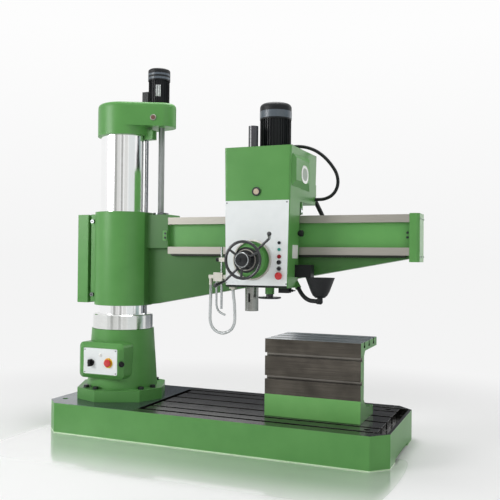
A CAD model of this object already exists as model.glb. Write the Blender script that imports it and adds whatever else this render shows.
# %% [markdown]
# # A radial arm drill, dressed for the camera
# The solids of this machine tool come from its CAD model: a slotted base, a turning column,
# an arm that climbs it and a drill head that travels on the arm. They already have the right
# shape and place, so this lesson gives them their finishes, lays the hoses and conduits as
# smooth tubes, and adds the small trim that a solid model leaves out. Blender works in metres;
# sizes that a shop drawing gives in millimetres are written that way and divided by MM.

# %% Load the machine
import math

import bmesh
import bpy
from mathutils import Matrix, Vector


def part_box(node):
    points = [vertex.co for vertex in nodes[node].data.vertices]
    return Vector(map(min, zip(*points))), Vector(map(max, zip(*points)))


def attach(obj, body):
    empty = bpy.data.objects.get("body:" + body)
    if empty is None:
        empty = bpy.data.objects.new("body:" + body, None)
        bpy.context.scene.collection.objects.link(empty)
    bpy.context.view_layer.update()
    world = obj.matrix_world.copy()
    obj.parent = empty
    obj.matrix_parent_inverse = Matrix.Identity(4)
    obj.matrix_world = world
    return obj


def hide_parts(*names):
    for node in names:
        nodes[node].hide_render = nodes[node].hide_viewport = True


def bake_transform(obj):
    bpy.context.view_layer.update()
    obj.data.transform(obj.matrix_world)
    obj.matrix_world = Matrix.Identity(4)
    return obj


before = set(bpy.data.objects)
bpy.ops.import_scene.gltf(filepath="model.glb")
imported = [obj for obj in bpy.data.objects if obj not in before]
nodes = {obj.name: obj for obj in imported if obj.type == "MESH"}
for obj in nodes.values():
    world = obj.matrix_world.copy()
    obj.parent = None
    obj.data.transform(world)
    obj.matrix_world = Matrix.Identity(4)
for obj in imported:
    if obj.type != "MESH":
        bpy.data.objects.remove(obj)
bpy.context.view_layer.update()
MM = 1000.0                # millimetres in a metre


def corners(node, grow=0.0):
    """The lowest and the highest corner of a solid in metres, each moved outward by grow."""
    low, high = (Vector(corner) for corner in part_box(node))
    margin = Vector((grow, grow, grow))
    return low - margin, high + margin


def new_object(name, data):
    """Puts a mesh, a lamp or a camera into the scene."""
    thing = bpy.data.objects.new(name, data)
    bpy.context.scene.collection.objects.link(thing)
    return thing


print("solids:", len(nodes))

# %% [markdown]
# ## Camera
# The photograph is taken from the front right at a person's chest height. A camera could be
# aimed with a Track To constraint, but a measured view also has a little roll, so its three
# axes are written out: right, up and back. The lens shift stands for the crop of the picture.

# %% Camera
PICTURE = 500              # pixels, both ways
FOCAL = 708                # pixels
SENSOR = 36.0              # mm
OPTICAL_CENTRE = (245.0, 251.8)
EYE = Vector((2.849, -4.510, 1.222))
yaw, pitch, roll = (math.radians(angle) for angle in (-22.59, 0.51, 0.58))

lens = bpy.data.cameras.new("photo_camera")
lens.sensor_width = SENSOR
lens.lens = SENSOR * FOCAL / PICTURE
lens.shift_x = (PICTURE / 2 - OPTICAL_CENTRE[0]) / PICTURE
lens.shift_y = (OPTICAL_CENTRE[1] - PICTURE / 2) / PICTURE
level_right = Vector((math.cos(yaw), -math.sin(yaw), 0))
level_ahead = Vector((math.sin(yaw), math.cos(yaw), 0))
ahead = level_ahead * math.cos(pitch) + Vector((0, 0, math.sin(pitch)))
level_up = level_right.cross(ahead)
right = level_right * math.cos(roll) + level_up * math.sin(roll)
up = level_up * math.cos(roll) - level_right * math.sin(roll)
camera = new_object("photo_camera", lens)
camera.matrix_world = Matrix.Translation(EYE) @ Matrix((right, up, -ahead)).transposed().to_4x4()
bpy.context.scene.camera = camera
print("lens", round(lens.lens, 1), "mm")

# %% [markdown]
# ## Colours and nodes
# Colours are picked as sRGB hex values, but shader sockets want linear light, so one function
# converts them. The other adds a node to a material, with its settings, values and links in
# one line; a material then reads like a short recipe.

# %% Colour and node helpers
def srgb(code):
    """Turns an sRGB hex code into linear RGBA."""
    parts = [int(code[i:i + 2], 16) / 255 for i in (1, 3, 5)]
    return [p / 12.92 if p <= 0.04045 else ((p + 0.055) / 1.055) ** 2.4 for p in parts] + [1.0]


def add(material, kind, inputs, **settings):
    """Adds one node. inputs gives each socket a value or another node's output."""
    node = material.node_tree.nodes.new(kind)
    for name, value in settings.items():
        setattr(node, name, value)
    for name, value in inputs.items():
        if isinstance(value, bpy.types.NodeSocket):
            material.node_tree.links.new(value, node.inputs[name])
        else:
            node.inputs[name].default_value = value
    return node


print("middle grey #808080 in linear light:", round(srgb("#808080")[0], 3))

# %% [markdown]
# ## Starting a finish and putting it on
# Every finish here is one Principled shader, which covers paint, metal, plastic and glass.
# Patterns could be laid on with UV maps, but CAD solids have none, so they follow the solid's
# own coordinates in metres. A pattern of n millimetres then has the scale MM / n.

# %% Finish helpers
def new_finish(name, **sockets):
    """Starts a material; gives it back with its shader and the solid's own coordinates."""
    material = bpy.data.materials.new(name)
    material.use_nodes = True
    shader = material.node_tree.nodes["Principled BSDF"]
    for socket, value in sockets.items():
        shader.inputs[socket.replace("_", " ")].default_value = value
    place = add(material, "ShaderNodeTexCoord", {}).outputs["Object"]
    return material, shader, place


def join(material, source, shader, socket):
    """Links an output to a socket of a node that is already there."""
    material.node_tree.links.new(source, shader.inputs[socket])


def dress(names, *finishes):
    """Gives solids these finishes; a face wears the first unless its material_index differs."""
    for name in names:
        slots = nodes[name].data.materials
        slots.clear()
        for finish in finishes:
            slots.append(finish)


print("scale of a 3 mm pattern:", round(MM / 3, 1))

# %% [markdown]
# ## Patches of another finish
# Castings are touched up in another shade, or milled bare in places. The solid could be cut in
# two for that, but paint has no thickness worth modelling, so a mask picks the patch: it is 1
# between two corners of the solid's own coordinates and 0 outside them.

# %% Masks for patches
SKIN = 0.0005              # metres; what is cut by a plane lies this close to it


def inside_box(material, place, low, high):
    """A mask that is 1 where the surface lies between two corners."""
    spot = add(material, "ShaderNodeSeparateXYZ", {"Vector": place})
    mask = None
    for axis, a, b in zip("XYZ", low, high):
        within = add(material, "ShaderNodeMath",
                     {0: spot.outputs[axis], 1: (a + b) / 2, 2: (b - a) / 2},
                     operation="COMPARE").outputs[0]
        mask = within if mask is None else add(material, "ShaderNodeMath", {0: mask, 1: within},
                                               operation="MULTIPLY").outputs[0]
    return mask


def lay_coat(material, under, mask, mottle, light, dark):
    """Covers the colour under it where the mask is 1; mottle drifts between the two tones."""
    coat = add(material, "ShaderNodeMix", {"Factor": mottle, "A": srgb(dark), "B": srgb(light)},
               data_type="RGBA")
    over = add(material, "ShaderNodeMix",
               {"Factor": mask, "A": under, "B": coat.outputs["Result"]}, data_type="RGBA")
    return over.outputs["Result"]


print("skin of a cut:", SKIN * MM, "mm")

# %% [markdown]
# ## Green machine enamel
# Machine tools are filled, sprayed and sometimes brushed with a semi-gloss enamel. The eye
# gets a soft, slightly wavy highlight (orange peel) and a colour that drifts a little where
# the coat is thicker. Two noises do it: a large one for the colour, a fine one for the bump.

# %% Green machine enamel
GREEN_LIGHT, GREEN_DARK = "#5f9a52", "#4f8a45"
COAT_DRIFT = 180           # mm over which the coat gets thicker and thinner
ORANGE_PEEL = 7            # mm; the real one is about 2 mm, drawn coarser so that it shows
CAST_EDGE = 0.004          # metres; cast edges are never sharp


def enamel(name, light, dark, patches=()):
    """Sprayed enamel; a patch gives two corners and the tones of a second coat between them."""
    material, shader, place = new_finish(name, IOR=1.5, Specular_IOR_Level=0.32)
    drift = add(material, "ShaderNodeTexNoise",
                {"Vector": place, "Scale": MM / COAT_DRIFT, "Detail": 4.0}).outputs["Fac"]
    tone = add(material, "ShaderNodeMix", {"Factor": drift, "A": srgb(dark), "B": srgb(light)},
               data_type="RGBA").outputs["Result"]
    for low, high, patch_light, patch_dark in patches:
        mask = inside_box(material, place, low, high)
        tone = lay_coat(material, tone, mask, drift, patch_light, patch_dark)
    peel = add(material, "ShaderNodeTexNoise",
               {"Vector": place, "Scale": MM / ORANGE_PEEL, "Detail": 2.0})
    edge = add(material, "ShaderNodeBevel", {"Radius": CAST_EDGE}, samples=4)
    bump = add(material, "ShaderNodeBump", {"Height": peel.outputs["Fac"], "Strength": 0.06,
                                            "Distance": 0.001, "Normal": edge.outputs["Normal"]})
    haze = add(material, "ShaderNodeMapRange", {"Value": drift, "To Min": 0.30, "To Max": 0.44})
    join(material, tone, shader, "Base Color")
    join(material, haze.outputs["Result"], shader, "Roughness")
    join(material, bump.outputs["Normal"], shader, "Normal")
    return material


GREEN_CASTINGS = ("column_base", "column_cap", "arm_end_cap", "head_housing", "control_box",
                  "electrical_cabinet", "feed_flange")
green_enamel = enamel("green_machine_enamel", GREEN_LIGHT, GREEN_DARK)
dress(GREEN_CASTINGS, green_enamel)
print("castings in one green:", len(GREEN_CASTINGS))

# %% [markdown]
# ## Two shades on the arm
# The arm is one casting, but its front isn't one green: the web between the slides is fresh
# and bright, the faces under it and beside the sleeve are deeper. The patches take their
# corners from the arm and from its slides, so they end exactly where the slides do.

# %% Two shades on the arm
arm_low, arm_high = corners("arm", SKIN)
rail_low, rail_high = corners("arm_guideways")
WEB_START = 0.205          # metres along the arm, where it leaves its sleeve
WEB_BACK = 0.1             # metres; the front faces of the arm lie ahead of this
DEEP_GREEN = ("#45743b", "#396731")
FRESH_GREEN = ("#68a759", "#569650")
arm_enamel = enamel("green_machine_enamel_two_coats", GREEN_LIGHT, GREEN_DARK, [
    ((WEB_START, arm_low.y, arm_low.z), (arm_high.x, WEB_BACK, rail_low.z), *DEEP_GREEN),
    ((WEB_START, arm_low.y, rail_low.z), (rail_low.x, WEB_BACK, arm_high.z), *DEEP_GREEN),
    ((rail_low.x, arm_low.y, rail_low.z), (rail_high.x, WEB_BACK, rail_high.z), *FRESH_GREEN)])
dress(("arm",), arm_enamel)
print("bright web from", round(rail_low.x, 3), "to", round(rail_high.x, 3), "m")

# %% [markdown]
# ## Machined cast iron next to paint
# The base and the table are castings whose working faces were milled after painting. Both
# finishes lie on one solid, so masks pick the milled faces. Milling leaves fine parallel
# lines: a noise drawn out along the cut. Bare iron is a dull metal, so there the shader is
# mostly metallic and a little smoother than the paint.

# %% Machined cast iron
CUTTER_LINE = 3            # mm; real lines are under 1 mm apart, drawn coarser so that they show
LINE_STRETCH = 90          # length of a cutter line over its width
OIL_STAIN = 140            # mm
IRON_METALLIC = 0.8


def milled_casting(name, cuts, coats=()):
    """Enamel all over, with bare iron in each cut: low corner, high corner, light, dark tone.

    A coat gives the same four values for enamel of another tone. The cutter runs along X.
    """
    material, shader, place = new_finish(name, IOR=1.5, Specular_IOR_Level=0.32)
    across = MM / CUTTER_LINE
    cut_at = add(material, "ShaderNodeVectorMath",
                 {0: place, 1: (across / LINE_STRETCH, across, across)}, operation="MULTIPLY")
    lines = add(material, "ShaderNodeTexNoise",
                {"Vector": cut_at.outputs[0], "Scale": 1.0, "Detail": 3.0}).outputs["Fac"]
    stain = add(material, "ShaderNodeTexNoise",
                {"Vector": place, "Scale": MM / OIL_STAIN, "Detail": 5.0}).outputs["Fac"]
    both = add(material, "ShaderNodeMath", {0: lines, 1: stain}, operation="MULTIPLY")
    grain = add(material, "ShaderNodeMapRange",
                {"Value": both.outputs[0], "From Min": 0.10, "From Max": 0.42}).outputs["Result"]
    tone = add(material, "ShaderNodeMix",
               {"Factor": stain, "A": srgb(GREEN_DARK), "B": srgb(GREEN_LIGHT)},
               data_type="RGBA").outputs["Result"]
    for low, high, light, dark in coats:
        mask = inside_box(material, place, low, high)
        tone = lay_coat(material, tone, mask, stain, light, dark)
    bare = None
    for low, high, light, dark in cuts:
        mask = inside_box(material, place, low, high)
        tone = lay_coat(material, tone, mask, grain, light, dark)
        bare = mask if bare is None else add(material, "ShaderNodeMath", {0: bare, 1: mask},
                                             operation="MAXIMUM").outputs[0]
    metal = add(material, "ShaderNodeMath", {0: bare, 1: IRON_METALLIC}, operation="MULTIPLY")
    gloss = add(material, "ShaderNodeMapRange", {"Value": bare, "To Min": 0.38, "To Max": 0.24})
    edge = add(material, "ShaderNodeBevel", {"Radius": CAST_EDGE}, samples=4)
    bump = add(material, "ShaderNodeBump", {"Height": lines, "Strength": 0.08, "Distance": 0.001,
                                            "Normal": edge.outputs["Normal"]})
    join(material, tone, shader, "Base Color")
    join(material, metal.outputs[0], shader, "Metallic")
    join(material, gloss.outputs["Result"], shader, "Roughness")
    join(material, bump.outputs["Normal"], shader, "Normal")
    return material


print("cutter lines", CUTTER_LINE, "mm wide and", CUTTER_LINE * LINE_STRETCH, "mm long")

# %% [markdown]
# ## The slotted base
# Its top is milled all over: a clean pad under the pedestal and darker, oily strips between
# the T-slots, whose insides are darker still. Coolant and mops wear the paint pale along the
# foot. All four are boxes in the base's own coordinates.

# %% The slotted base
base_low, base_high = corners("base_plate", SKIN)
below_top = base_high.z - 2 * SKIN
PAD_END = 0.36             # metres along the base, where the pedestal's pad stops
SLOTS_START = 0.30
SLOTS_END, SLOTS_HALF = 2.035, 0.385        # far end and half width of the slotted field
SLOT_FLOOR = 0.15
WORN_RIM = 0.006           # metres up from the floor
base_finish = milled_casting("enamelled_base_with_milled_top", [
    ((base_low.x, base_low.y, below_top), (PAD_END, base_high.y, base_high.z),
     "#767f84", "#5a6368"),
    ((SLOTS_START, -SLOTS_HALF - SKIN, SLOT_FLOOR),
     (SLOTS_END + SKIN, SLOTS_HALF + SKIN, below_top), "#42423e", "#2a2a27"),
    ((PAD_END + SKIN, base_low.y, below_top), base_high, "#6b6b69", "#3f3f3d")],
    [(base_low, (base_high.x, base_high.y, WORN_RIM), "#d6f0cb", "#b5d8a8")])
dress(("base_plate",), base_finish)
print("milled top of the base at", round(below_top + SKIN, 3), "m")

# %% [markdown]
# ## The work table
# An angle table: its top is wiped bright by the work that slides on it, its front is darker,
# and its foot is painted up to the first slot. The slots of both faces are in shade and oily.

# %% The work table
table_low, table_high = corners("work_table")
outer_low, outer_high = corners("work_table", SKIN)
inner_low, inner_high = corners("work_table", -SKIN)
SLOT_DEPTH = 0.039         # metres of bare iron inside a slot
TOP_SLOTS_FRONT, TOP_SLOTS_BACK = 0.06, 0.02         # metres of top before and behind its slots
FOOT_TOP, FRONT_SLOTS_TOP = 0.345, 0.66
table_finish = milled_casting("enamelled_table_with_milled_faces", [
    ((inner_low.x, table_low.y + TOP_SLOTS_FRONT, inner_high.z - SLOT_DEPTH),
     (inner_high.x, table_high.y - TOP_SLOTS_BACK, inner_high.z), "#4c4c48", "#34342f"),
    ((inner_low.x, inner_low.y, FOOT_TOP),
     (inner_high.x, inner_low.y + SLOT_DEPTH, FRONT_SLOTS_TOP), "#938f88", "#6b6862"),
    ((outer_low.x, outer_low.y, inner_high.z), outer_high, "#c4cacd", "#9aa1a5"),
    ((outer_low.x, outer_low.y, FOOT_TOP), (outer_high.x, inner_low.y, outer_high.z),
     "#67625a", "#3d3a35")],
    [(outer_low, (outer_high.x, inner_low.y, FOOT_TOP), "#7fc06e", "#6aad5c")])
dress(("work_table",), table_finish)
print("table top at", round(table_high.z, 3), "m")

# %% [markdown]
# ## Ground and turned steel
# Grinding and turning leave rings or lines that blur a mirror in one direction. Anisotropic
# gloss could do that, but it needs tangents that CAD meshes lack, so a stretched noise varies
# the tone and the roughness instead. Its rings are drawn 2 to 4 mm wide, because the real
# ones, well under 0.1 mm, would vanish in the render.

# %% Bare steel
def bare_steel(name, light, dark, roughness, ring_mm, stretch):
    """Bare or plated metal; stretch below 1 draws the rings out along that axis."""
    material, shader, place = new_finish(name, Metallic=1.0)
    fine = add(material, "ShaderNodeVectorMath",
               {0: place, 1: [s * MM / ring_mm for s in stretch]}, operation="MULTIPLY")
    rings = add(material, "ShaderNodeTexNoise",
                {"Vector": fine.outputs[0], "Scale": 1.0, "Detail": 2.0}).outputs["Fac"]
    tone = add(material, "ShaderNodeMix", {"Factor": rings, "A": srgb(dark), "B": srgb(light)},
               data_type="RGBA")
    gloss = add(material, "ShaderNodeMapRange", {"Value": rings, "To Min": roughness * 0.8,
                                                 "To Max": roughness * 1.2})
    join(material, tone.outputs["Result"], shader, "Base Color")
    join(material, gloss.outputs["Result"], shader, "Roughness")
    return material


print("grinding rings are drawn 2 to 4 mm wide")

# %% [markdown]
# ## The steels of this machine
# How a piece was made and what it was last touched by decide its steel: chrome and oil, grease
# and wear give each a brightness and a gloss of its own.

# %% The steels of this machine
ROUND_Z, LONG_X, EVEN = (0.1, 0.1, 1), (0.03, 1, 1), (1, 1, 1)
# Ground, then hard-chromed: nearly a mirror, which shows the studio in long bright bands.
ground_column = bare_steel("hard_chromed_column", "#fefefe", "#f5f6f6", 0.13, 3, (0.05, 0.05, 1))
# Ground and worn by the head: pale, warm and almost without a mirror image.
slide_steel = bare_steel("ground_slide_steel", "#aeaba4", "#949189", 0.55, 3, LONG_X)
# Straight from the lathe: bright, with a broken highlight.
turned_steel = bare_steel("turned_steel", "#c9cccd", "#a4a8aa", 0.26, 2, ROUND_Z)
# A film of oil makes it darker and a little glossier.
oiled_steel = bare_steel("oiled_dark_steel", "#8b8d8e", "#6a6d6f", 0.22, 2, ROUND_Z)
# Grease and dust between the teeth: almost black.
greased_steel = bare_steel("greased_rack_steel", "#454843", "#2a2c28", 0.36, 2, EVEN)
# Ground but not chromed: a dim mirror, a little warm.
spindle_steel = bare_steel("ground_spindle_steel", "#aaaba7", "#82847f", 0.22, 2, ROUND_Z)
# Blackened in a bath of salts: dark, with a dull sheen.
black_oxide = bare_steel("black_oxide_steel", "#4b4e4f", "#333638", 0.35, 2, EVEN)
# Plated but not polished: pale, warm and satin.
nickel_plate = bare_steel("dull_nickel_plate", "#c9c8bf", "#a9a79e", 0.42, 4, EVEN)
# Finely turned and wiped clean: the brightest band of the pedestal.
ring_steel = bare_steel("fine_turned_ring_steel", "#f0f1ef", "#dcdedc", 0.16, 2, ROUND_Z)
# Decorative chrome on small bought parts: a clear mirror.
chrome = bare_steel("chromed_trim", "#e8eaea", "#d4d7d8", 0.10, 4, EVEN)
print("finishes so far:", len(bpy.data.materials))

# %% [markdown]
# ## Steel pieces
# Each bare piece gets the steel of its job. The outer column gets two: the groove that keeps
# the arm in line was milled after the chrome, so its faces are plain oiled steel. They could
# be a solid of their own, but a second material slot on the same mesh is enough.

# %% Steel pieces
dress(("arm_guideways",), slide_steel)
dress(("traverse_rack",), greased_steel)
dress(("coolant_fittings",), nickel_plate)
dress(("lift_nut", "lift_pinion"), oiled_steel)
dress(("quill", "spindle"), spindle_steel)
dress(("column_base_bolts",), black_oxide)
dress(("pedestal_ring",), ring_steel)
dress(("coolant_pipe", "inner_column", "column_bearings", "spindle_bearings", "traverse_shaft",
       "roller_left", "roller_right"), turned_steel)
dress(("outer_column",), ground_column, oiled_steel)
KEYWAY_FLOOR, KEYWAY_EDGE = 0.14, 0.170     # metres from the column's axis
KEYWAY_HALF = 0.022        # metres to each side of the middle
keyway = 0
for face in nodes["outer_column"].data.polygons:
    deep = KEYWAY_FLOOR < face.center.x < KEYWAY_EDGE
    face.material_index = int(deep and abs(face.center.y) < KEYWAY_HALF)
    keyway += face.material_index
print("faces in the keyway:", keyway)

# %% [markdown]
# ## Lead screw thread
# The arm climbs on a long screw. Its thread could be modelled as a helix, but at this size a
# bump is enough: one wave for each thread along the screw, dark in the groove and bright on
# the crest.

# %% Lead screw thread
THREAD_PITCH = 8           # mm
# Oiled screw steel: thin bright lines across a dark bar. The wave texture draws about pi bands
# for each unit of its scale.
thread_steel, shader, place = new_finish("oiled_screw_steel", Metallic=1.0, Roughness=0.3)
wave = add(thread_steel, "ShaderNodeTexWave",
           {"Vector": place, "Scale": MM / THREAD_PITCH / math.pi}, wave_type="BANDS",
           bands_direction="Z", wave_profile="TRI").outputs["Fac"]
flank = add(thread_steel, "ShaderNodeMix",
            {"Factor": wave, "A": srgb("#5d605f"), "B": srgb("#b7baba")}, data_type="RGBA")
bump = add(thread_steel, "ShaderNodeBump", {"Height": wave, "Strength": 0.6, "Distance": 0.003})
join(thread_steel, flank.outputs["Result"], shader, "Base Color")
join(thread_steel, bump.outputs["Normal"], shader, "Normal")
dress(("lead_screw",), thread_steel)
screw_low, screw_high = corners("lead_screw")
print("threads:", round((screw_high.z - screw_low.z) * MM / THREAD_PITCH))

# %% [markdown]
# ## Paint, plastic and rubber
# Three blacks are on this machine: satin paint on the cast motors, moulded plastic on knobs
# and covers, and gloss enamel on the hand levers. They differ in roughness, in a clear coat
# and in the grain of their bump, which is why they don't look like one material under the same
# lamp. The coloured plastics and the grey plates are made the same way.

# %% Paint, plastic and rubber
SATIN = 0.4                # roughness from which a surface scatters half of its sheen


def moulded_or_painted(name, light, dark, roughness, grain_mm, bump_strength, coat):
    """Plastic, rubber or paint; coat is the weight of the clear gloss on top.

    Moulded grain is well under 1 mm on the real pieces, and is drawn coarser so that it shows.
    """
    material, shader, place = new_finish(
        name, Roughness=roughness, IOR=1.5, Coat_Weight=coat, Coat_Roughness=0.08,
        Specular_IOR_Level=0.5 if roughness < SATIN else 0.25)
    grain = add(material, "ShaderNodeTexNoise",
                {"Vector": place, "Scale": MM / grain_mm, "Detail": 3.0}).outputs["Fac"]
    tone = add(material, "ShaderNodeMix", {"Factor": grain, "A": srgb(dark), "B": srgb(light)},
               data_type="RGBA")
    bump = add(material, "ShaderNodeBump",
               {"Height": grain, "Strength": bump_strength, "Distance": 0.001})
    join(material, tone.outputs["Result"], shader, "Base Color")
    join(material, bump.outputs["Normal"], shader, "Normal")
    return material


print("satin from a roughness of", SATIN)

# %% [markdown]
# ## The paints and plastics of this machine
# Each is written with a light and a dark tone, a roughness, the size of its grain, the strength
# of its bump and the weight of its clear coat. Typical values come first and are then matched
# to the piece.

# %% The paints and plastics of this machine
# Sprayed on cast ribs: soft grey lights on the edges.
motor_paint = moulded_or_painted("satin_black_motor_paint", "#1a1d20", "#101214", 0.40, 9, 0.08, 0)
# Moulded against a grained tool: dull, without a clear highlight.
black_plastic = moulded_or_painted("moulded_black_plastic", "#1e2022", "#131416", 0.46, 3, 0.1, 0)
# Stoved enamel on the hand parts: small sharp highlights.
black_gloss = moulded_or_painted("gloss_black_enamel", "#24272a", "#15171a", 0.22, 12, 0.03, 0.5)
# Extruded rubber: the dullest of the blacks.
conduit_rubber = moulded_or_painted("ribbed_conduit_rubber", "#2c2e30", "#17181a", 0.55, 3, 0.1, 0)
# Polished moulds give the buttons and lamps their gloss.
red_plastic = moulded_or_painted("gloss_red_plastic", "#cf2a2c", "#bb1c20", 0.25, 14, 0.02, 0.3)
yellow_plastic = moulded_or_painted("gloss_yellow_plastic", "#f2c42a", "#e2b01a", 0.3, 14, 0.02,
                                    0.2)
lamp_white = moulded_or_painted("opal_white_plastic", "#f0f0ec", "#e2e3df", 0.28, 20, 0.02, 0.2)
# Lacquer over a drawn tube: a long clear streak of light.
tube_paint = moulded_or_painted("lacquered_grey_tube", "#3b3942", "#302e37", 0.34, 9, 0.02, 0.6)
# Sprayed sheet metal: blue-grey beside the black motors.
cover_grey = moulded_or_painted("blue_grey_cover_paint", "#59626b", "#474f58", 0.32, 9, 0.03, 0)
# Satin sheets: flat, pale and free of mirror images.
blank_grey = moulded_or_painted("satin_grey_plate", "#a9b5a8", "#97a497", 0.40, 40, 0.01, 0)
panel_grey = moulded_or_painted("satin_anodised_panel", "#ebefef", "#e2e7e7", 0.44, 60, 0.01, 0)
dress(("main_motor", "lift_motor"), motor_paint)
dress(("main_motor_fan_cover", "lift_motor_fan_cover", "switch_boxes", "lamp_shade",
       "isolator_knob", "pump_knob", "valve_knob", "lamp_switch_lever", "start_button",
       "stop_button", "clamp_button", "release_button"), black_plastic)
dress(("handwheel", "feed_hub", "feed_levers", "micro_wheel"), black_gloss)
dress(("spindle_cover_tube",), tube_paint)
dress(("control_estop", "panel_estop"), red_plastic)
dress(("panel_plate", "control_plate"), panel_grey)
print("finishes so far:", len(bpy.data.materials))

# %% [markdown]
# ## Glass and lamps
# Sight glasses show oil behind clear plastic, so a tinted gloss that lets a little light in is
# enough; the bulb and the indicator lenses are the same with other tints. The lower of the two
# panel lamps is green, and one push-button bezel holds a red lens, so these solids have two
# slots and the height of a face decides.

# %% Glass and lamps
TINT_DRIFT = 30            # mm
GREEN_LAMP = (1.258, 1.300)          # metres, below and above the green lens
RED_BEZEL = 1.220          # metres, just under the red lens


def lens_finish(name, light, dark, transmission):
    """Clear moulded plastic with a tint that drifts a little: a small sharp highlight."""
    material, shader, place = new_finish(name, Roughness=0.08, IOR=1.49,
                                         Transmission_Weight=transmission)
    swirl = add(material, "ShaderNodeTexNoise",
                {"Vector": place, "Scale": MM / TINT_DRIFT, "Detail": 2.0})
    tone = add(material, "ShaderNodeMix",
               {"Factor": swirl.outputs["Fac"], "A": srgb(dark), "B": srgb(light)},
               data_type="RGBA")
    join(material, tone.outputs["Result"], shader, "Base Color")
    return material


dress(("cap_sight_glass",), lens_finish("brown_oil_glass", "#8a6250", "#5d3b2e", 0.10))
dress(("head_sight_glass",), lens_finish("oil_sight_glass", "#e6d9c4", "#a98f74", 0.10))
dress(("lamp_bulb",), lens_finish("frosted_bulb_glass", "#f4f4ee", "#e8e8e2", 0.10))
dress(("panel_lamps",), lens_finish("dark_lamp_lens", "#2b3338", "#1c2226", 0.20),
      lens_finish("green_lamp_lens", "#3fae9b", "#2c8d7e", 0.20))
for face in nodes["panel_lamps"].data.polygons:
    face.material_index = int(GREEN_LAMP[0] < face.center.z < GREEN_LAMP[1])
dress(("button_bezels",), chrome, lens_finish("dark_red_lens", "#a3222c", "#7d1620", 0.20))
for face in nodes["button_bezels"].data.polygons:
    face.material_index = int(face.center.z > RED_BEZEL)
print("finishes so far:", len(bpy.data.materials))

# %% [markdown]
# ## Routes of hoses and conduits
# A hose hangs in one smooth curve. Blender's curve objects could draw it, but their length
# isn't known before they are built, so the route is a list of points: corner points joined by
# a Catmull-Rom spline, which passes through each of them.

# %% Routes
def smooth_route(points_mm, steps):
    """Catmull-Rom through the points, in metres."""
    points = [Vector(p) / MM for p in points_mm]
    points = [2 * points[0] - points[1]] + points + [2 * points[-1] - points[-2]]
    route = []
    for a, b, c, d in zip(points, points[1:], points[2:], points[3:]):
        for i in range(steps):
            t = i / steps
            route.append(0.5 * (2 * b + (c - a) * t + (2 * a - 5 * b + 4 * c - d) * t ** 2
                                + (3 * b - a - 3 * c + d) * t ** 3))
    return route + [points[-2]]


def route_length(route):
    """The length of the line through all points."""
    return sum((b - a).length for a, b in zip(route, route[1:]))


def even_route(route, count):
    """The same line with evenly spaced points."""
    step, walked, out = route_length(route) / count, 0.0, [route[0]]
    for a, b in zip(route, route[1:]):
        span = (b - a).length
        while len(out) < count and walked + span >= step * len(out) - 1e-9:
            out.append(a.lerp(b, (step * len(out) - walked) / span))
        walked += span
    return out + [route[-1]]


print("a straight metre measures", route_length(smooth_route([(0, 0, 0), (MM, 0, 0)], 4)), "m")

# %% [markdown]
# ## Tubes
# Rings of points are carried along a route without twist and joined with quads. A corrugated
# conduit is the same tube with a radius that swings in and out once for each rib, so its ribs
# are real geometry and not a bump.

# %% Tube maker
RIB_SHAPE = (0.0, 0.5, 1.0, 0.5)     # how far each of a rib's four rings is drawn in


def tube(name, route, radius, finish, rib=0.0, rib_mm=0.0, sides=20):
    """A closed tube along the route; rib is the depth of its corrugation."""
    if rib:
        ribs = round(route_length(route) * MM / rib_mm)
        route = even_route(route, len(RIB_SHAPE) * ribs)
    mesh = bmesh.new()
    side = (route[1] - route[0]).orthogonal().normalized()
    rings = []
    for i, point in enumerate(route):
        along = (route[min(i + 1, len(route) - 1)] - route[max(i - 1, 0)]).normalized()
        side = (side - along * side.dot(along)).normalized()
        across = along.cross(side)
        reach = radius - rib * RIB_SHAPE[i % len(RIB_SHAPE)]
        turns = [2 * math.pi * k / sides for k in range(sides)]
        rings.append([mesh.verts.new(point + reach * (side * math.cos(t) + across * math.sin(t)))
                      for t in turns])
    for low, high in zip(rings, rings[1:]):
        for k in range(sides):
            mesh.faces.new((low[k], low[(k + 1) % sides], high[(k + 1) % sides], high[k]))
    mesh.faces.new(rings[0][::-1])
    mesh.faces.new(rings[-1])
    for face in mesh.faces:
        face.smooth = len(face.verts) == 4
    data = bpy.data.meshes.new(name)
    mesh.to_mesh(data)
    mesh.free()
    data.materials.append(finish)
    return new_object(name, data)


print("rings for each rib:", len(RIB_SHAPE))

# %% [markdown]
# ## Laying a cord
# A hose is a fixed length of something flexible. Besides its tube it needs its facts written
# down: where it leaves the machine, how long and how thick it is, how stiff, and that its far
# end goes back into the machine. The plain solid that held its place is hidden.

# %% Laying a cord
def lay_cord(name, node, route, diameter, finish, rib=0.0, rib_mm=0.0):
    piece = tube(name, route, diameter / 2, finish, rib, rib_mm)
    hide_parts(node)
    print(name, round(route_length(route), 3), "m")
    return piece


# %% [markdown]
# ## Coolant hose
# A clear PVC hose that has gone milky: light passes through it and picks up a little grey. It
# hangs in a loop between two fittings in front of the arm, all in one plane, so its points
# need only two coordinates.

# %% Coolant hose
MILKY_CLOUD = 35           # mm
clear_hose, shader, place = new_finish("clear_pvc_hose", Roughness=0.12, IOR=1.5,
                                       Transmission_Weight=0.55)
cloud = add(clear_hose, "ShaderNodeTexNoise",
            {"Vector": place, "Scale": MM / MILKY_CLOUD, "Detail": 2.0})
milk = add(clear_hose, "ShaderNodeMix",
           {"Factor": cloud.outputs["Fac"], "A": srgb("#c6cbcc"), "B": srgb("#dadddd")},
           data_type="RGBA")
join(clear_hose, milk.outputs["Result"], shader, "Base Color")
HOSE_Y = -205
HOSE = [(812, 1040), (812, 1020), (812, 980), (811, 940), (810, 897), (809, 854), (809, 811),
        (816, 777), (835, 747), (865, 728), (899, 721), (933, 728), (963, 747), (982, 777),
        (989, 811), (989, 854), (987, 897), (983, 940), (978, 975), (976, 995), (976, 1012)]
hose_route = smooth_route([(x, HOSE_Y, z) for x, z in HOSE], 5)
hose = lay_cord("coolant_hose_tube", "coolant_hose", hose_route, 0.020, clear_hose)
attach(hose, "head")

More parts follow.
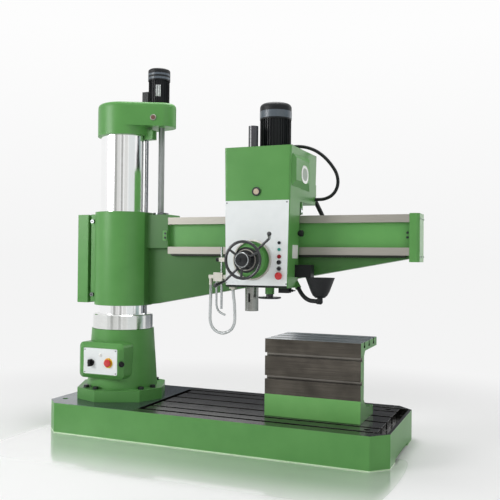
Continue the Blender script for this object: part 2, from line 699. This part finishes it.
# %% [markdown]
# ## Motor conduit
# A stiff ribbed conduit leaves the main motor's terminal box, swings out past the head's right
# side and goes back into the head lower down. Its ribs are 7 mm apart.

# %% Motor conduit
MOTOR_CONDUIT = [(1236, 215, 2010), (1262, 215, 2010), (1290, 217, 2009), (1330, 222, 2003),
                 (1372, 228, 1990), (1412, 235, 1970), (1450, 243, 1942), (1485, 250, 1907),
                 (1515, 257, 1868), (1540, 262, 1826), (1553, 266, 1781), (1552, 270, 1736),
                 (1535, 275, 1695), (1506, 280, 1665), (1471, 285, 1648), (1438, 289, 1641),
                 (1408, 290, 1640), (1384, 290, 1640)]
motor_conduit = lay_cord("motor_conduit_tube", "motor_conduit", smooth_route(MOTOR_CONDUIT, 6),
                         0.025, conduit_rubber,
                         rib=0.0018, rib_mm=7)
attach(motor_conduit, "head")

# %% [markdown]
# ## Arm conduit
# The wires from the arm to the head hang behind the arm in a loop that opens and closes as the
# head travels. The tube could be cut in two, but a real one bends, so its points follow the
# arm at one end and the head at the other, and blend between two spots.

# %% Arm conduit
ARM_CONDUIT = [(1075, 190, 1434), (1075, 190, 1418), (1076, 190, 1392), (1082, 191, 1360),
               (1095, 194, 1328), (1119, 201, 1296), (1152, 212, 1266), (1194, 227, 1244),
               (1236, 242, 1230), (1281, 259, 1226), (1326, 276, 1233), (1367, 293, 1252),
               (1402, 309, 1281), (1428, 323, 1320), (1444, 335, 1365), (1449, 344, 1412),
               (1444, 350, 1460), (1430, 353, 1505), (1409, 354, 1550), (1387, 354, 1593),
               (1365, 354, 1637), (1353, 354, 1660)]
arm_conduit = lay_cord("arm_conduit_tube", "arm_conduit", smooth_route(ARM_CONDUIT, 6),
                       0.033, conduit_rubber,
                       rib=0.0022, rib_mm=8)
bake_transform(arm_conduit)

# %% [markdown]
# ## Gooseneck of the work lamp
# A gooseneck is a wound steel strip: it stays where it is bent and shows fine turns. It leaves
# its box at 45 degrees, sweeps through one arc and ends level with the shade, so its points
# come from that arc.

# %% Gooseneck
UP = Vector((0, 0, 1))
NECK_START = Vector((1386, -76, 1030))
NECK_OUT = Vector((0.8, -0.6, 0))
NECK_BEND, NECK_IN, NECK_TAIL = 190, 30, 60          # mm: bend radius, straight start and end
NECK_STEPS = 12
bend_start = NECK_START + NECK_IN * (NECK_OUT - UP).normalized()
bend_centre = bend_start + NECK_BEND * (NECK_OUT + UP).normalized()
neck = [NECK_START, NECK_START.lerp(bend_start, 0.5)]
for i in range(NECK_STEPS + 1):
    slope = math.radians(45 * (1 - i / NECK_STEPS))
    neck.append(bend_centre - NECK_BEND * (NECK_OUT * math.sin(slope) + UP * math.cos(slope)))
neck += [neck[-1] + NECK_OUT * NECK_TAIL * share for share in (0.5, 1.0)]
gooseneck = lay_cord("gooseneck_tube", "gooseneck", smooth_route(neck, 4), 0.028, conduit_rubber,
                     rib=0.0016, rib_mm=5)
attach(gooseneck, "head")

# %% [markdown]
# ## Small trim
# Bezels, screw heads and blank plates are too small to be worth solids of their own, but the
# eye looks for them. Each is a mesh that stands on the surface that carries it and rides on
# that surface's body. Where the surface slopes, a ray finds the spot and the tilt.

# %% Seating the trim
FRONT = (0, -1, 0)


def put(name, mesh, finish, body):
    """Makes an object of the mesh that rides on a body."""
    bmesh.ops.recalc_face_normals(mesh, faces=mesh.faces)
    data = bpy.data.meshes.new(name)
    mesh.to_mesh(data)
    mesh.free()
    data.materials.append(finish)
    piece = new_object(name, data)
    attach(piece, body)
    return piece


def seat(spot, axis):
    """The matrix that stands a piece on a spot in mm, its own Z along axis."""
    tilt = Vector(axis).to_track_quat("Z", "Y").to_matrix().to_4x4()
    return Matrix.Translation(Vector(spot) / MM) @ tilt


def land(node, origin, direction):
    """Where a ray in mm meets a solid, and which way that surface faces."""
    hit, spot, normal, _ = nodes[node].ray_cast(Vector(origin) / MM, Vector(direction))
    if not hit:
        raise ValueError(f"the ray misses {node}")
    return spot * MM, normal


def middle(node):
    """The middle of a solid in mm."""
    low, high = corners(node)
    return (low + high) / 2 * MM


print("the feed's axis runs through", [round(v) for v in middle("feed_flange")])

# %% [markdown]
# ## Turned trim
# Rings and screw heads come from a lathe, and so do these meshes: an outline of radius and
# height is spun round an axis. A Screw modifier could do it, but the spin gives a finished
# mesh at once, and several copies fit in one object.

# %% Turned trim
def turned(name, outline, spots, axis, finish, body, steps=40):
    """Turns an outline of (radius, height) in mm round an axis, once at each spot."""
    whole = bmesh.new()
    for spot in spots:
        lathe = bmesh.new()
        points = [lathe.verts.new((r / MM, 0, h / MM)) for r, h in outline]
        edges = [lathe.edges.new(pair) for pair in zip(points, points[1:])]
        bmesh.ops.spin(lathe, geom=points + edges, axis=(0, 0, 1), angle=2 * math.pi,
                       steps=steps, use_merge=True)
        bmesh.ops.remove_doubles(lathe, verts=lathe.verts, dist=1e-6)
        lathe.transform(seat(spot, axis))
        bowl = bpy.data.meshes.new("bowl")
        lathe.to_mesh(bowl)
        whole.from_mesh(bowl)
        bpy.data.meshes.remove(bowl)
        lathe.free()
    return put(name, whole, finish, body)


SOCKET_HEAD = [(0, 1.5), (2.6, 1.5), (2.6, 4.2), (4.6, 4.2), (5, 3.8), (5, 0), (0, 0)]
FLAT_HEAD = [(0, 2), (4, 2), (4, 5), (7.2, 5), (8, 4.2), (8, 0), (0, 0)]
print("outline points of a socket screw:", len(SOCKET_HEAD))

# %% [markdown]
# ## Flat trim
# Plates are sawn from sheet, rounded at the corners and broken along the front edge, so that
# the edge catches a thin line of light. Three rings of points make one: foot, edge and face.

# %% Flat trim
BROKEN_EDGE = 0.6          # mm
CORNER_STEPS = 8


def plate(name, width, height, corner, thick, spot, axis, finish, body):
    """A rounded rectangle in mm with a broken front edge."""
    mesh = bmesh.new()
    rings = []
    for inset, level in ((0, 0), (0, thick - BROKEN_EDGE), (BROKEN_EDGE, thick)):
        ring = []
        for sx, sy, start in ((1, 1, 0), (-1, 1, 90), (-1, -1, 180), (1, -1, 270)):
            for k in range(CORNER_STEPS + 1):
                t = math.radians(start + 90 / CORNER_STEPS * k)
                ring.append(mesh.verts.new(Vector((
                    sx * (width / 2 - corner) + (corner - inset) * math.cos(t),
                    sy * (height / 2 - corner) + (corner - inset) * math.sin(t), level)) / MM))
        rings.append(ring)
    for low, high in zip(rings, rings[1:]):
        for k in range(len(low)):
            after = (k + 1) % len(low)
            mesh.faces.new((low[k], low[after], high[after], high[k]))
    mesh.faces.new(rings[0][::-1])
    mesh.faces.new(rings[-1])
    mesh.transform(seat(spot, axis))
    return put(name, mesh, finish, body)


print("points round a plate:", 4 * (CORNER_STEPS + 1))

# %% [markdown]
# ## Front of the drill head
# Four screws hold the panel, a black seal closes the gap under it, and a plated ring covers the
# joint of the feed flange. All take their places from the panel and the flange.

# %% Front of the drill head
panel_low, panel_high = (corner * MM for corner in corners("panel_plate"))
head_front = panel_high.y            # the panel's back lies on the head
SCREW_INSET = 13
turned("panel_screws", SOCKET_HEAD,
       [(x, panel_low.y, z) for x in (panel_low.x + SCREW_INSET, panel_high.x - SCREW_INSET)
        for z in (panel_low.z + SCREW_INSET, panel_high.z - SCREW_INSET)],
       FRONT, turned_steel, "head", 24)
plate("head_lower_seal", 424, 12, 3, 2.5, (middle("panel_plate").x, head_front, panel_low.z - 7),
      FRONT, black_plastic, "head")
feed_axis = middle("feed_flange")
turned("feed_flange_ring", [(121, 0), (131, 0), (131, 13), (128, 16), (121, 16)],
       [(feed_axis.x, panel_low.y, feed_axis.z)], FRONT, nickel_plate, "head", 72)
print("panel", [round(v) for v in panel_high - panel_low], "mm")

# %% [markdown]
# ## Rings of the feed
# The feed hub carries a dial ring and the handwheel a bright hub ring. They turn with those
# pieces, so they ride on the feed and on the wheel, not on the head.

# %% Rings of the feed
hub_front = corners("feed_hub")[0].y * MM
wheel_front = corners("handwheel")[0].y * MM
RING_SUNK = 0.5            # mm that the dial ring is let into the hub
turned("feed_dial_ring", [(63, 0), (69, 0), (69, 1.5), (67, 2.5), (63, 2.5)],
       [(feed_axis.x, hub_front + RING_SUNK, feed_axis.z)], FRONT, slide_steel, "feed",
       72)
turned("handwheel_hub_ring", [(41, 0), (48, 0), (48, 2), (46, 4), (43, 4), (41, 2)],
       [(feed_axis.x, wheel_front, feed_axis.z)], FRONT, turned_steel, "wheel",
       64)
print("dial ring at", round(hub_front, 1), "mm, hub ring at", round(wheel_front, 1), "mm")

# %% [markdown]
# ## Bezel of the oil glass
# The glass above the panel is held by a dark ring that is turned to a bevel outside and a small
# step inside, so it shows as a thin dark circle with a bright edge.

# %% Bezel of the oil glass
glass = middle("head_sight_glass")
turned("sight_glass_bezel", [(29, 0), (29, 8), (27, 10.5), (21.5, 10.5), (19, 9.3)],
       [(glass.x, head_front, glass.z)], FRONT, black_oxide, "head", 48)
print("oil glass at", [round(v) for v in glass], "mm")

# %% [markdown]
# ## Right side of the drill head
# An oval blank plate in a white rim, a plain label and a rubber bumper sit on the sloping right
# side. Each ray starts far to the right and lands on the housing.

# %% Right side of the drill head
FAR_RIGHT = 1700
TO_LEFT = (-1, 0, 0)
spot, normal = land("head_housing", (FAR_RIGHT, -25, 1779), TO_LEFT)
plate("side_oval_rim", 142, 119, 59.4, 3, spot, normal, lamp_white, "head")
plate("side_oval_plate", 104, 82, 40.9, 1.2, spot + normal * 2.4, normal, blank_grey, "head")
spot, normal = land("head_housing", (FAR_RIGHT, -116, 1267), TO_LEFT)
plate("side_label_blank", 108, 88, 4, 1.4, spot, normal, lamp_white, "head")
spot, normal = land("head_housing", (FAR_RIGHT, -60, 1389), TO_LEFT)
turned("traverse_bumper", [(0, 34), (18, 34), (22, 30), (22, 12), (14, 10), (14, 0), (0, 0)],
       [spot], normal, black_plastic, "head", 32)
print("bumper at", [round(v) for v in spot], "mm")

# %% [markdown]
# ## Control box
# The switch plate has a screw in each corner, a yellow collar round its red mushroom and a
# white pilot lamp. They take their places from the plate and the mushroom.

# %% Control box
sheet_low, sheet_high = (corner * MM for corner in corners("control_plate"))
INSET_X, INSET_Z = 11, 11.5
turned("control_plate_screws", SOCKET_HEAD,
       [(x, sheet_low.y, z) for x in (sheet_low.x + INSET_X, sheet_high.x - INSET_X)
        for z in (sheet_low.z + INSET_Z, sheet_high.z - INSET_Z)],
       FRONT, turned_steel, "frame", 24)
mushroom = middle("control_estop")
turned("estop_collar", [(13, 0), (35, 0), (35, 1.5), (33, 3), (13, 3)],
       [(mushroom.x, sheet_low.y, mushroom.z)], FRONT, yellow_plastic, "frame", 48)
turned("pilot_lamp", [(0, 9), (5, 8), (8.5, 4.5), (9, 3), (12, 3), (12, 0), (0, 0)],
       [(7, sheet_low.y, 532)], FRONT, lamp_white, "frame", 32)
print("switch plate", [round(v) for v in sheet_high - sheet_low], "mm")

# %% [markdown]
# ## Fan covers of the motors
# A motor draws its cooling air through a ringed grille on top. Round the cover run one or two
# painted bands. Both are turned, and both take their size from the cover that they sit on.

# %% Fan covers of the motors
GRILLE_SHARE = 0.72        # of the cover's radius
GRILLE_PITCH, GRILLE_RIB = 11, 4     # mm
BAND_PROUD, BAND_SUNK = 0.8, 1       # mm outside and inside the cover's wall
BANDS = {"head": ((0.08, 0.52),), "column": ((0.10, 0.30), (0.44, 0.62))}    # shares of the height


def fan_grille(outer):
    """The outline of a thin disc with a raised ring at every pitch."""
    outline = [(0, 0)]
    for k in range(1, int(outer // GRILLE_PITCH)):
        inner = k * GRILLE_PITCH
        outline += [(inner, 0.3), (inner, 2), (inner + GRILLE_RIB, 2), (inner + GRILLE_RIB, 0.3)]
    return outline + [(outer, 0.3), (outer, -1), (0, -1)]


for name, node, body in (("main_fan_grille", "main_motor_fan_cover", "head"),
                         ("lift_fan_grille", "lift_motor_fan_cover", "column")):
    low, high = (corner * MM for corner in corners(node))
    reach, tall = (high.x - low.x) / 2, high.z - low.z
    axle = middle(node)
    turned(name, fan_grille(GRILLE_SHARE * reach), [(axle.x, axle.y, high.z)], UP, black_plastic,
           body, 64)
    for number, (start, stop) in enumerate(BANDS[body]):
        band = (stop - start) * tall
        turned(f"{name}_band_{number}",
               [(reach - BAND_SUNK, 0), (reach + BAND_PROUD, BAND_PROUD),
                (reach + BAND_PROUD, band - BAND_PROUD), (reach - BAND_SUNK, band)],
               [(axle.x, axle.y, low.z + start * tall)], UP, cover_grey, body, 64)
    print(name, round(2 * reach), "mm across")

# %% [markdown]
# ## Lift motor, cap and sleeve
# A blank plate on the lift motor, a bezel round the cap's oil glass and two clamp bolts on the
# sleeve. The cap is round, so a ray from outside finds the bezel's seat; it passes a little
# above the glass, clear of its hole.

# %% Lift motor, cap and sleeve
spot, normal = land("lift_motor", (256, -400, 2447), (0, 1, 0))
plate("lift_motor_blank_plate", 36, 84, 3, 1.5, spot, (0.25, -1, 0), panel_grey, "column")
GLASS_OUT = Vector((0.46, -0.89, 0)).normalized()
ABOVE_HOLE = 20 * UP
spot, normal = land("column_cap", middle("cap_sight_glass") + 200 * GLASS_OUT + ABOVE_HOLE,
                    -GLASS_OUT)
turned("cap_glass_bezel", [(15.2, 0), (22, 0), (22, 4), (19, 7), (15.2, 7)], [spot - ABOVE_HOLE],
       normal, slide_steel, "column", 40)
turned("sleeve_clamp_bolts", [(0, 9), (7, 9), (7, 16), (14, 16), (15, 15), (15, 0), (0, 0)],
       [(-205, -100, z) for z in (1482, 943)], FRONT, oiled_steel, "arm", 32)
print("cap bezel at", [round(v) for v in spot - ABOVE_HOLE], "mm")

# %% [markdown]
# ## Electrical cabinet
# The cabinet's door is a shallow tray with a margin all round it and a quarter-turn lock near
# its front edge.

# %% Electrical cabinet
cabinet_low, cabinet_high = (corner * MM for corner in corners("electrical_cabinet"))
cabinet = middle("electrical_cabinet")
DOOR_MARGIN_Y, DOOR_MARGIN_Z, DOOR_THICK = 14, 16, 5
LOCK_INSET = 39
plate("cabinet_door", cabinet_high.y - cabinet_low.y - 2 * DOOR_MARGIN_Y,
      cabinet_high.z - cabinet_low.z - 2 * DOOR_MARGIN_Z, 8, DOOR_THICK,
      (cabinet_low.x, cabinet.y, cabinet.z), TO_LEFT, green_enamel, "arm")
turned("cabinet_lock", [(0, 7), (9, 7), (12, 4), (12, 0), (0, 0)],
       [(cabinet_low.x - DOOR_THICK, cabinet_low.y + LOCK_INSET, cabinet.z)], TO_LEFT, chrome,
       "arm", 32)
print("cabinet door from", round(cabinet_low.z + DOOR_MARGIN_Z), "mm up")

# %% [markdown]
# ## Ends of the arm
# Six screws hold the end cap. On the web a small bracket stops the rack near the sleeve, with
# two flat-headed screws, and two more sit at the outer end. Their heights follow the slides.

# %% Ends of the arm
cap_end = corners("arm_end_cap")[1].x * MM
turned("end_cap_screws", SOCKET_HEAD,
       [(cap_end, y, z) for y in (-10, 60, 130) for z in (1240, 1480)], (1, 0, 0), turned_steel,
       "arm", 24)
rail_mid = (rail_low.z + rail_high.z) / 2 * MM
web_low, web_high = rail_low.y * MM, rail_high.y * MM
BRACKET_X, BRACKET_THICK = 362, 6
SCREW_RISE = 15            # mm above and below the middle of the web
plate("rack_end_bracket", 36, 76, 12, BRACKET_THICK, (BRACKET_X, web_low, rail_mid), FRONT,
      green_enamel, "arm")
for name, x, y in (("bracket_screws", BRACKET_X + 4, web_low - BRACKET_THICK),
                   ("web_end_screws", 2079, web_high)):
    turned(name, FLAT_HEAD, [(x, y, rail_mid + rise) for rise in (-SCREW_RISE, SCREW_RISE)],
           FRONT, black_oxide, "arm", 24)
print("middle of the web at", round(rail_mid), "mm")

# %% [markdown]
# ## Floor
# The machine stands on a pale polished sheet. In front of the base it mirrors the machine and
# keeps its shadow; further away it is dull and fades into the white of the studio wall. One
# sheet could have one gloss all over, but then the whole studio would show in it, so the gloss
# falls off with the distance from the base, and soonest past the base's two ends.

# %% Floor
FLOOR_RADIUS = 30          # metres
STUDIO_WHITE = "#f4f4f4"
MIRROR, MIRROR_FULL, MIRROR_END = 0.64, 0.22, 0.80   # share of mirror, and metres from the base
END_WEIGHT = 7             # how much sooner the mirror ends beside the base's ends
FRONT_START, FRONT_FULL = -0.05, -0.40               # metres; only the front side mirrors
FADE_START, FADE_END = 1.0, 3.8      # metres from the middle

floor_mesh = bmesh.new()
bmesh.ops.create_circle(floor_mesh, cap_ends=True, segments=96, radius=FLOOR_RADIUS)
floor_data = bpy.data.meshes.new("studio_floor")
floor_mesh.to_mesh(floor_data)
floor_mesh.free()
floor = new_object("studio_floor", floor_data)
floor.location = (middle("base_plate").x / MM, 0, 0)
print("floor", 2 * FLOOR_RADIUS, "m across")

# %% [markdown]
# ## Finish of the floor
# Polished sheet: a soft mirror near the machine and plain white far from it. The distance from
# the base's outline is worked out with vector maths: the absolute place, less the base's half
# size, cut off at zero, has that distance as its length.

# %% Finish of the floor
paper, shader, place = new_finish("polished_pale_sheet", IOR=1.45)
shader.inputs["Base Color"].default_value = srgb(STUDIO_WHITE)
low, high = corners("base_plate")
base_half = (high - low) / 2
past = add(paper, "ShaderNodeVectorMath", {0: place}, operation="ABSOLUTE")
for operation, amount in (("SUBTRACT", (base_half.x, base_half.y, 0)),
                          ("MULTIPLY", (END_WEIGHT, 1, 0)), ("MAXIMUM", (0, 0, 0))):
    past = add(paper, "ShaderNodeVectorMath", {0: past.outputs[0], 1: amount}, operation=operation)
past = add(paper, "ShaderNodeVectorMath", {0: past.outputs[0]}, operation="LENGTH")
near = add(paper, "ShaderNodeMapRange",
           {"Value": past.outputs["Value"], "From Min": MIRROR_FULL, "From Max": MIRROR_END,
            "To Min": MIRROR, "To Max": 0.0}, interpolation_type="SMOOTHSTEP")
spot = add(paper, "ShaderNodeSeparateXYZ", {"Vector": place})
front = add(paper, "ShaderNodeMapRange",
            {"Value": spot.outputs["Y"], "From Min": FRONT_START, "From Max": FRONT_FULL})
mirror = add(paper, "ShaderNodeMath", {0: near.outputs["Result"], 1: front.outputs["Result"]},
             operation="MULTIPLY").outputs[0]
haze = add(paper, "ShaderNodeMapRange",
           {"Value": mirror, "From Max": 0.2, "To Min": 0.75, "To Max": 0.09})
join(paper, mirror, shader, "Metallic")
join(paper, haze.outputs["Result"], shader, "Roughness")
far = add(paper, "ShaderNodeVectorMath", {0: place}, operation="LENGTH")
fade = add(paper, "ShaderNodeMapRange",
           {"Value": far.outputs["Value"], "From Min": FADE_START, "From Max": FADE_END},
           interpolation_type="SMOOTHSTEP")
white = add(paper, "ShaderNodeEmission", {"Color": srgb(STUDIO_WHITE), "Strength": 1.0})
blend = add(paper, "ShaderNodeMixShader",
            {0: fade.outputs["Result"], 1: shader.outputs[0], 2: white.outputs[0]})
join(paper, blend.outputs[0], paper.node_tree.nodes["Material Output"], "Surface")
floor_data.materials.append(paper)
print("the mirror ends", MIRROR_END, "m in front of the base")

# %% [markdown]
# ## Studio wall
# The white wall round the machine could be a bright world, but that would wash out the shadows.
# So its full white shows to camera, mirror and glass rays only, and lights the machine at about
# a quarter of it. Overhead it is a touch whiter than at the horizon.

# %% Studio wall
AMBIENT = 0.26             # strength of the wall as a lamp, where 1 is white
world = bpy.data.worlds.new("studio")
bpy.context.scene.world = world
world.use_nodes = True
sky = world.node_tree.nodes["Background"]
around = add(world, "ShaderNodeTexCoord", {}).outputs["Generated"]
toward = add(world, "ShaderNodeSeparateXYZ", {"Vector": around})
rise = add(world, "ShaderNodeMapRange", {"Value": toward.outputs["Z"], "From Max": 0.3})
wall = add(world, "ShaderNodeMix", {"Factor": rise.outputs["Result"], "A": srgb(STUDIO_WHITE),
                                    "B": srgb("#fdfdfd")}, data_type="RGBA")
rays = add(world, "ShaderNodeLightPath", {})
seen = rays.outputs["Is Camera Ray"]
for kind in ("Is Glossy Ray", "Is Transmission Ray"):
    seen = add(world, "ShaderNodeMath", {0: seen, 1: rays.outputs[kind]},
               operation="MAXIMUM").outputs[0]
level = add(world, "ShaderNodeMapRange", {"Value": seen, "To Min": AMBIENT, "To Max": 1.0})
join(world, wall.outputs["Result"], sky, "Color")
join(world, level.outputs["Result"], sky, "Strength")
bpy.context.scene.view_settings.view_transform = "Standard"
print("wall", STUDIO_WHITE, "and", AMBIENT, "of it as light")

# %% [markdown]
# ## Lamps
# Three round softboxes: a key from the front left, a weak fill from the right and one overhead
# for the tops. Their level is plain, so a colour renders about as it is written. The fill would
# burn a white stripe into the column, so mirror rays don't see it.

# %% Lamps
for name, spot, aim, size, power, mirrored in (
        ("key_softbox", (-3.2, -4.2, 2.8), (0.6, 0, 1.0), 2.6, 172, True),
        ("fill_softbox", (4.6, -2.6, 2.6), (0.9, 0, 1.1), 2.4, 42, False),
        ("top_softbox", (0.9, 0.6, 5.0), (0.9, 0, 1.0), 3.0, 150, True)):
    lamp = bpy.data.lights.new(name, "AREA")
    lamp.shape = "DISK"
    lamp.size = size
    lamp.energy = power
    stand = new_object(name, lamp)
    stand.location = spot
    stand.visible_glossy = mirrored
    stand.rotation_euler = (Vector(aim) - Vector(spot)).to_track_quat("-Z", "Y").to_euler()
    print(name, power, "W")

# %% [markdown]
# ## Grey flags for the chrome
# A mirror is only as interesting as what stands round it. Photographers hang grey cloths,
# called flags, beside a chromed part so that its round shape shows as bands. These stand on a
# circle round the column and are seen by mirror rays alone. One of them is a bright card
# behind the machine that lifts the sloping side of the head, and a low dark one behind the
# base gives the milled strips something to reflect.

# %% Grey flags for the chrome
FLAG_RING = 6.2            # metres from the column
FLAG_TOP = 4.5             # metres
CARD_FOOT, UNDER_CARD = 0.9, 0.85
# Name, bearing in degrees, width, foot and top in metres, tone and strength.
ring_of_flags = (
    ("flag_left_pale", -115, 1.1, 0.0, FLAG_TOP, "#dcdddc", 1.0),
    ("flag_left_line", -101.5, 1.2, 0.0, FLAG_TOP, "#9c9d9a", 1.0),
    ("flag_front_left", -88, 1.7, 0.0, FLAG_TOP, "#dadad8", 1.0),
    ("flag_front_line", -71.5, 1.0, 0.0, FLAG_TOP, "#a4a4a2", 1.0),
    ("flag_camera", -53, 1.7, 0.0, FLAG_TOP, "#dcdcda", 1.0),
    ("flag_right_pale", -26, 3.4, 0.0, FLAG_TOP, "#dfe3e3", 1.0),
    ("flag_right", 12, 2.2, 0.0, FLAG_TOP, "#9fb0ae", 1.0),
    ("card_for_head_side", 56.5, 1.7, CARD_FOOT, FLAG_TOP, "#ffffff", 2.1),
    ("flag_under_card", 50, 3.4, 0.0, UNDER_CARD, "#868b90", 1.0),
    ("flag_far_right", 82, 3.4, 0.0, FLAG_TOP, "#5f6467", 1.0))


def hang_flag(name, x, y, turn, width, foot, top, tone, strength):
    """A glowing sheet that only mirror rays see; turn is in degrees about Z."""
    sheet = bpy.data.meshes.new(name)
    sheet.from_pydata([(-width / 2, 0, foot), (width / 2, 0, foot), (width / 2, 0, top),
                       (-width / 2, 0, top)], [], [(0, 1, 2, 3)])
    cloth = bpy.data.materials.new(name + "_cloth")
    cloth.use_nodes = True
    glow = add(cloth, "ShaderNodeEmission", {"Color": srgb(tone), "Strength": strength})
    join(cloth, glow.outputs[0], cloth.node_tree.nodes["Material Output"], "Surface")
    sheet.materials.append(cloth)
    flag = new_object(name, sheet)
    flag.location = (x, y, 0)
    flag.rotation_euler = (0, 0, math.radians(turn))
    flag.visible_camera = flag.visible_diffuse = False
    flag.visible_shadow = flag.visible_transmission = False


for name, bearing, *size_and_tone in ring_of_flags:
    angle = math.radians(bearing)
    hang_flag(name, FLAG_RING * math.cos(angle), FLAG_RING * math.sin(angle), bearing + 90,
              *size_and_tone)
hang_flag("flag_behind_base", 0.88, 0.62, 0, 2.15, 0.21, 0.47, "#55565a", 1.0)
print("flags:", len(ring_of_flags) + 1)
